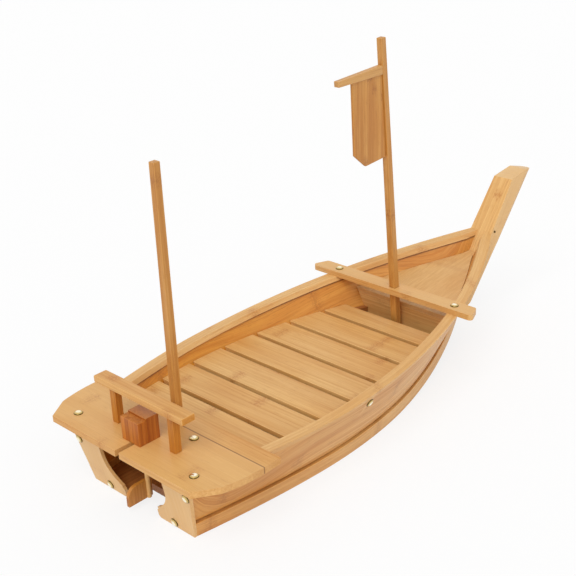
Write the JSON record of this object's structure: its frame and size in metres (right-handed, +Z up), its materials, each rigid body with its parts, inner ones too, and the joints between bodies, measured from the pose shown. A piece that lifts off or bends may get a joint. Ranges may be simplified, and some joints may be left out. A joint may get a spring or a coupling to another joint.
{
  "type": "wooden serving boat",
  "caption": "Wooden serving boat with a decked stern, an open tray with a slatted floor, a rising fore deck, a crossbar, masts, a stern rail and a rudder.",
  "frame": {"origin": "middle of the boat's length and width, on the surface that it rests on", "axes": "+X forward to the bow, +Y to port, +Z up"},
  "size_m": [0.6108, 0.22, 0.347],
  "materials": {
    "pale_wood": "satin",
    "wall_wood": "satin",
    "inner_wood": "satin",
    "mast_wood": "satin",
    "dark_wood": "satin",
    "brass": "polished"
  },
  "bodies": {
    "root": {"side_plank_port": "wall_wood", "side_plank_starboard": "wall_wood", "lower_rail_port": "wall_wood", "lower_rail_starboard": "wall_wood", "gunwale_cap_port": "pale_wood", "gunwale_cap_starboard": "pale_wood", "transom_port": "pale_wood", "transom_starboard": "pale_wood", "stern_bulkhead": "inner_wood", "bottom_board": "inner_wood", "stem_post": "pale_wood", "fore_bulkhead": "wall_wood", "fore_deck": "pale_wood", "aft_deck": "pale_wood", "forward_strip": "pale_wood", "floor_ledge_port": "inner_wood", "floor_ledge_starboard": "inner_wood", "floor_slat_1": "pale_wood", "floor_slat_2": "pale_wood", "floor_slat_3": "pale_wood", "floor_slat_4": "pale_wood", "floor_slat_5": "pale_wood", "floor_slat_6": "pale_wood", "floor_slat_7": "pale_wood", "crossbar": "pale_wood", "bow_mast": "mast_wood", "yard": "mast_wood", "sail_board": "mast_wood", "stern_mast": "mast_wood", "rail_post_port": "mast_wood", "rail_post_starboard": "mast_wood", "rail_beam": "pale_wood", "rudder_head_slab": "dark_wood", "rudder_head_block": "dark_wood", "rudder_stock": "pale_wood", "rudder_blade": "mast_wood", "deck_nails": "brass", "transom_nails": "brass", "crossbar_nails": "brass", "side_nails": "brass", "stem_pins": "brass"}
  },
  "joints": []
}
